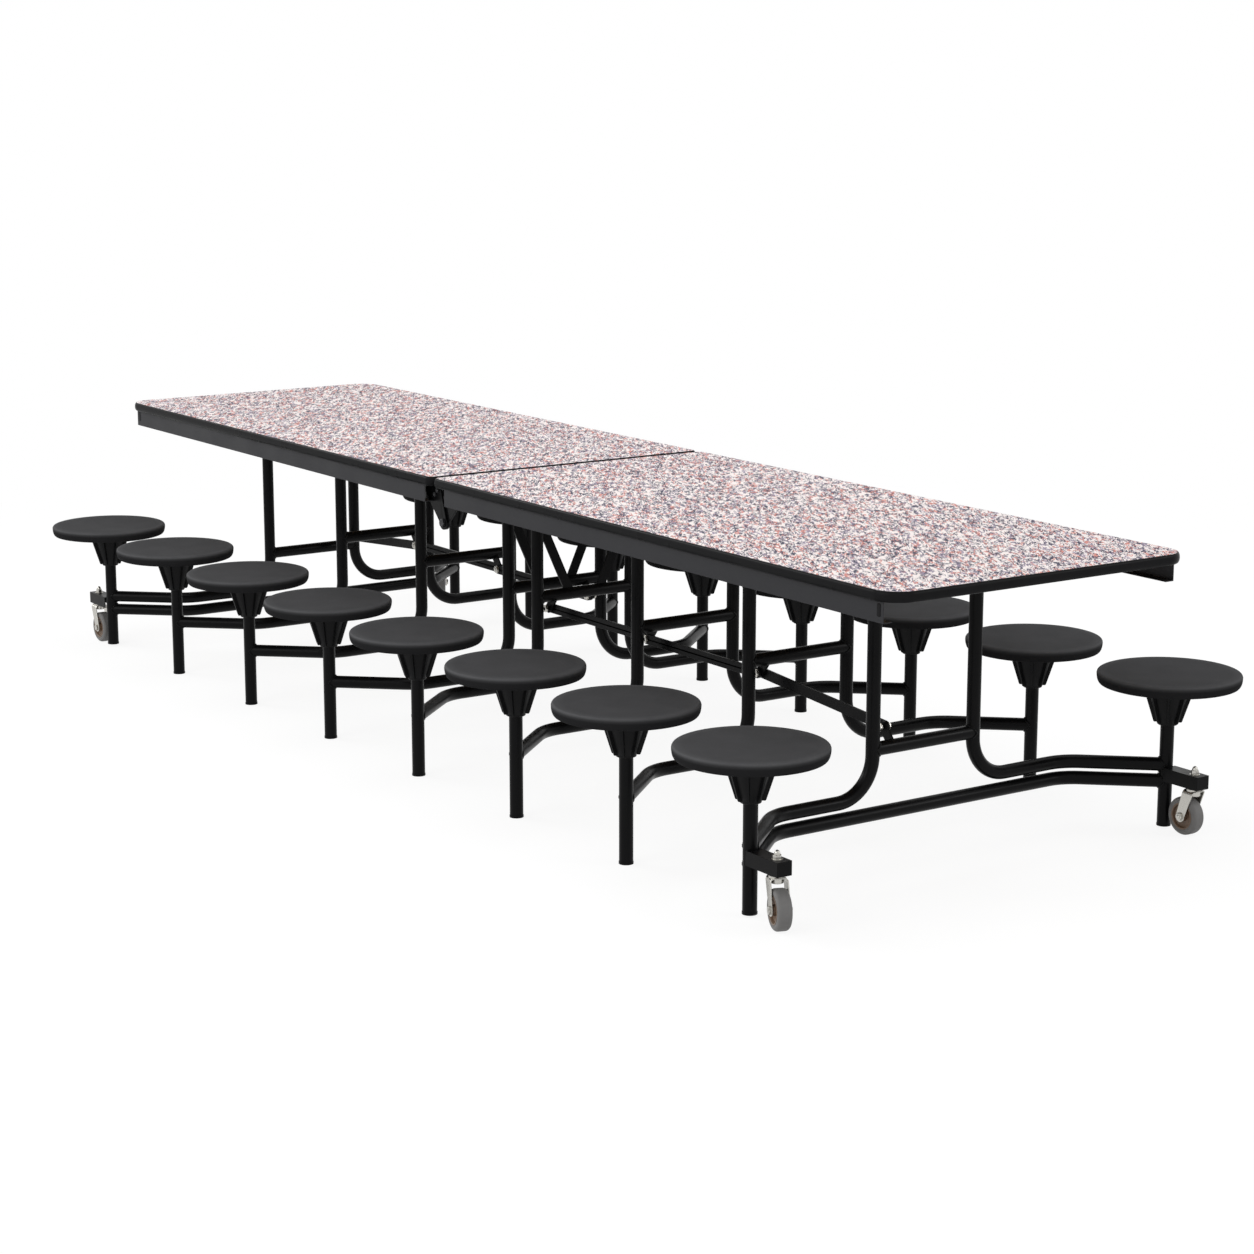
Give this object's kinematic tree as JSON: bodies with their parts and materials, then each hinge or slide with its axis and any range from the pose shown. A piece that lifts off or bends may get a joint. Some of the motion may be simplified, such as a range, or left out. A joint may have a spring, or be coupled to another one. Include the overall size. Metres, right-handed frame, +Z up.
{
  "type": "mobile cafeteria table",
  "caption": "Long folding mobile cafeteria table: laminate top hinged at its centre, black tube leg frames that carry round stools, and swivel casters at both ends.",
  "frame": {"origin": "on the floor, under the middle of the table", "axes": "+X along the table, +Y across it towards the rear stools, +Z up"},
  "size_m": [3.658, 1.522, 0.699],
  "materials": {
    "laminate": "satin, flecked",
    "board": "raw particle board",
    "edge_band": "satin vinyl",
    "black_steel": "gloss powder coat",
    "seat_plastic": "fine texture",
    "zinc_steel": "bright zinc",
    "tyre": "grey, non-marking",
    "wheel_core": "moulded"
  },
  "bodies": {
    "left_top": {"left_laminate": "laminate", "left_board": "board", "left_edge_band": "edge_band", "left_aprons": "black_steel", "left_pivot_rails": "black_steel", "left_pivot_pins": "zinc_steel", "left_hinge_plates": "black_steel", "hinge_bolts": "zinc_steel"},
    "left_frame_1": {"left_legs_1": "black_steel", "left_posts_1": "black_steel", "left_seats_1": "seat_plastic"},
    "left_frame_2": {"left_legs_2": "black_steel", "left_posts_2": "black_steel", "left_seats_2": "seat_plastic"},
    "left_frame_3": {"left_legs_3": "black_steel", "left_posts_3": "black_steel", "left_seats_3": "seat_plastic"},
    "left_frame_4": {"left_legs_4": "black_steel", "left_posts_4": "black_steel", "left_seats_4": "seat_plastic", "left_caster_arms": "black_steel"},
    "left_link_12": {"left_link_12": "black_steel"},
    "left_link_23": {"left_link_23": "black_steel"},
    "left_link_34": {"left_link_34": "black_steel"},
    "left_front_caster": {"left_front_caster_fork": "zinc_steel"},
    "left_front_wheel": {"left_front_caster_tyre": "tyre", "left_front_caster_core": "wheel_core"},
    "left_rear_caster": {"left_rear_caster_fork": "zinc_steel"},
    "left_rear_wheel": {"left_rear_caster_tyre": "tyre", "left_rear_caster_core": "wheel_core"},
    "right_top": {"right_laminate": "laminate", "right_board": "board", "right_edge_band": "edge_band", "right_aprons": "black_steel", "right_pivot_rails": "black_steel", "right_pivot_pins": "zinc_steel", "right_hinge_plates": "black_steel"},
    "right_frame_1": {"right_legs_1": "black_steel", "right_posts_1": "black_steel", "right_seats_1": "seat_plastic"},
    "right_frame_2": {"right_legs_2": "black_steel", "right_posts_2": "black_steel", "right_seats_2": "seat_plastic"},
    "right_frame_3": {"right_legs_3": "black_steel", "right_posts_3": "black_steel", "right_seats_3": "seat_plastic"},
    "right_frame_4": {"right_legs_4": "black_steel", "right_posts_4": "black_steel", "right_seats_4": "seat_plastic", "right_caster_arms": "black_steel"},
    "right_link_12": {"right_link_12": "black_steel"},
    "right_link_23": {"right_link_23": "black_steel"},
    "right_link_34": {"right_link_34": "black_steel"},
    "right_front_caster": {"right_front_caster_fork": "zinc_steel"},
    "right_front_wheel": {"right_front_caster_tyre": "tyre", "right_front_caster_core": "wheel_core"},
    "right_rear_caster": {"right_rear_caster_fork": "zinc_steel"},
    "right_rear_wheel": {"right_rear_caster_tyre": "tyre", "right_rear_caster_core": "wheel_core"}
  },
  "joints": [
    {"name": "fold", "type": "hinge", "parent": "left_frame_4", "child": "left_top", "pos_m": [-1.4422, 0, 0.6228], "axis": [0, -1, 0], "range_deg": [0, 80]},
    {"name": "centre_hinge", "type": "hinge", "parent": "left_top", "child": "right_top", "pos_m": [0, 0, 0.58], "axis": [0, 1, 0], "range_deg": [0, 160]},
    {"name": "left_frame_1_pivot", "type": "hinge", "parent": "left_top", "child": "left_frame_1", "pos_m": [-0.0706, 0, 0.6588], "axis": [0, 1, 0], "range_deg": [0, 80]},
    {"name": "left_frame_2_pivot", "type": "hinge", "parent": "left_top", "child": "left_frame_2", "pos_m": [-0.5278, 0, 0.6588], "axis": [0, 1, 0], "range_deg": [0, 80]},
    {"name": "left_frame_3_pivot", "type": "hinge", "parent": "left_top", "child": "left_frame_3", "pos_m": [-0.985, 0, 0.6588], "axis": [0, 1, 0], "range_deg": [0, 80]},
    {"name": "left_link_12_pivot", "type": "hinge", "parent": "left_frame_2", "child": "left_link_12", "pos_m": [-0.4968, 0.09, 0.332], "axis": [0, -1, 0], "range_deg": [0, 80]},
    {"name": "left_link_23_pivot", "type": "hinge", "parent": "left_frame_3", "child": "left_link_23", "pos_m": [-0.954, 0.09, 0.332], "axis": [0, -1, 0], "range_deg": [0, 80]},
    {"name": "left_link_34_pivot", "type": "hinge", "parent": "left_frame_4", "child": "left_link_34", "pos_m": [-1.4112, 0.09, 0.296], "axis": [0, -1, 0], "range_deg": [0, 80]},
    {"name": "right_frame_1_pivot", "type": "hinge", "parent": "right_top", "child": "right_frame_1", "pos_m": [0.0706, 0, 0.6588], "axis": [0, -1, 0], "range_deg": [0, 80]},
    {"name": "right_frame_2_pivot", "type": "hinge", "parent": "right_top", "child": "right_frame_2", "pos_m": [0.5278, 0, 0.6588], "axis": [0, -1, 0], "range_deg": [0, 80]},
    {"name": "right_frame_3_pivot", "type": "hinge", "parent": "right_top", "child": "right_frame_3", "pos_m": [0.985, 0, 0.6588], "axis": [0, -1, 0], "range_deg": [0, 80]},
    {"name": "right_frame_4_pivot", "type": "hinge", "parent": "right_top", "child": "right_frame_4", "pos_m": [1.4422, 0, 0.6228], "axis": [0, -1, 0], "range_deg": [0, 80]},
    {"name": "right_link_12_pivot", "type": "hinge", "parent": "right_frame_2", "child": "right_link_12", "pos_m": [0.4968, -0.09, 0.332], "axis": [0, 1, 0], "range_deg": [0, 80]},
    {"name": "right_link_23_pivot", "type": "hinge", "parent": "right_frame_3", "child": "right_link_23", "pos_m": [0.954, -0.09, 0.332], "axis": [0, 1, 0], "range_deg": [0, 80]},
    {"name": "right_link_34_pivot", "type": "hinge", "parent": "right_frame_4", "child": "right_link_34", "pos_m": [1.4112, -0.09, 0.296], "axis": [0, 1, 0], "range_deg": [0, 80]},
    {"name": "right_front_swivel", "type": "hinge", "parent": "right_frame_4", "child": "right_front_caster", "pos_m": [1.6922, -0.596, 0.11], "axis": [0, 0, 1], "continuous": true},
    {"name": "right_front_spin", "type": "hinge", "parent": "right_front_caster", "child": "right_front_wheel", "pos_m": [1.71287, -0.60352, 0.0445], "axis": [0.342, 0.9397, 0], "continuous": true},
    {"name": "right_rear_swivel", "type": "hinge", "parent": "right_frame_4", "child": "right_rear_caster", "pos_m": [1.6922, 0.596, 0.11], "axis": [0, 0, 1], "continuous": true},
    {"name": "right_rear_spin", "type": "hinge", "parent": "right_rear_caster", "child": "right_rear_wheel", "pos_m": [1.6702, 0.596, 0.0445], "axis": [0, -1, 0], "continuous": true},
    {"name": "left_front_swivel", "type": "hinge", "parent": "left_frame_4", "child": "left_front_caster", "pos_m": [-1.6922, -0.596, 0.11], "axis": [0, 0, 1], "continuous": true},
    {"name": "left_front_spin", "type": "hinge", "parent": "left_front_caster", "child": "left_front_wheel", "pos_m": [-1.6702, -0.596, 0.0445], "axis": [0, 1, 0], "continuous": true},
    {"name": "left_rear_swivel", "type": "hinge", "parent": "left_frame_4", "child": "left_rear_caster", "pos_m": [-1.6922, 0.596, 0.11], "axis": [0, 0, 1], "continuous": true},
    {"name": "left_rear_spin", "type": "hinge", "parent": "left_rear_caster", "child": "left_rear_wheel", "pos_m": [-1.71125, 0.607, 0.0445], "axis": [-0.5, -0.866, 0], "continuous": true}
  ],
  "couplings": [
    {"joint": "centre_hinge", "follows": "fold", "ratio": 2},
    {"joint": "left_frame_1_pivot", "follows": "fold", "ratio": 1},
    {"joint": "left_frame_2_pivot", "follows": "fold", "ratio": 1},
    {"joint": "left_frame_3_pivot", "follows": "fold", "ratio": 1},
    {"joint": "left_link_12_pivot", "follows": "fold", "ratio": 1},
    {"joint": "left_link_23_pivot", "follows": "fold", "ratio": 1},
    {"joint": "left_link_34_pivot", "follows": "fold", "ratio": 1},
    {"joint": "right_frame_1_pivot", "follows": "fold", "ratio": 1},
    {"joint": "right_frame_2_pivot", "follows": "fold", "ratio": 1},
    {"joint": "right_frame_3_pivot", "follows": "fold", "ratio": 1},
    {"joint": "right_frame_4_pivot", "follows": "fold", "ratio": 1},
    {"joint": "right_link_12_pivot", "follows": "fold", "ratio": 1},
    {"joint": "right_link_23_pivot", "follows": "fold", "ratio": 1},
    {"joint": "right_link_34_pivot", "follows": "fold", "ratio": 1}
  ]
}
